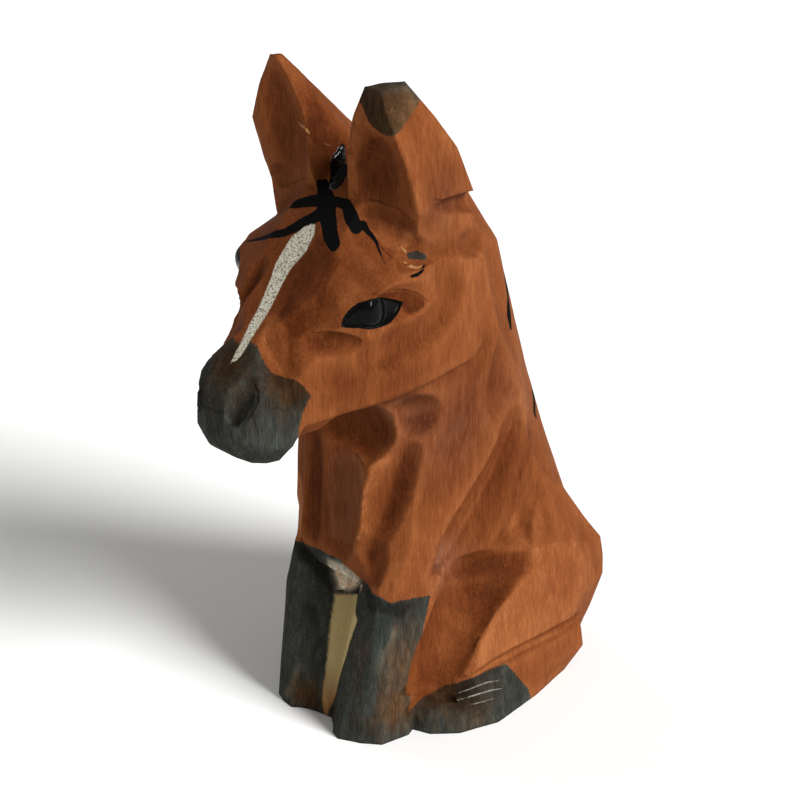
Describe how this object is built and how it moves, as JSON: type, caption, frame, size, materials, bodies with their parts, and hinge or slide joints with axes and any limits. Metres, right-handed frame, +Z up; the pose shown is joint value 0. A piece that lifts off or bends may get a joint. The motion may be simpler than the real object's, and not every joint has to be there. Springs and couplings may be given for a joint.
{
  "type": "carved wooden sitting foal figurine",
  "caption": "Small hand-carved, stained and painted wooden foal that sits upright on its own feet, a loose table or shelf ornament.",
  "frame": {"origin": "centre of the bounding box at the underside of the feet", "axes": "+Z up along the grain of the block, -Y the way the foal faces, +X to the foal's left"},
  "size_m": [0.0338, 0.0626, 0.0944],
  "materials": {
    "stained_wood": "reddish-brown stained softwood with gouge facets left sharp; matt grey-black brushed paint on muzzle and feet, glossy black eyes and forelock, thin white blaze"
  },
  "bodies": {
    "root": {"horse": "stained_wood"}
  },
  "joints": []
}
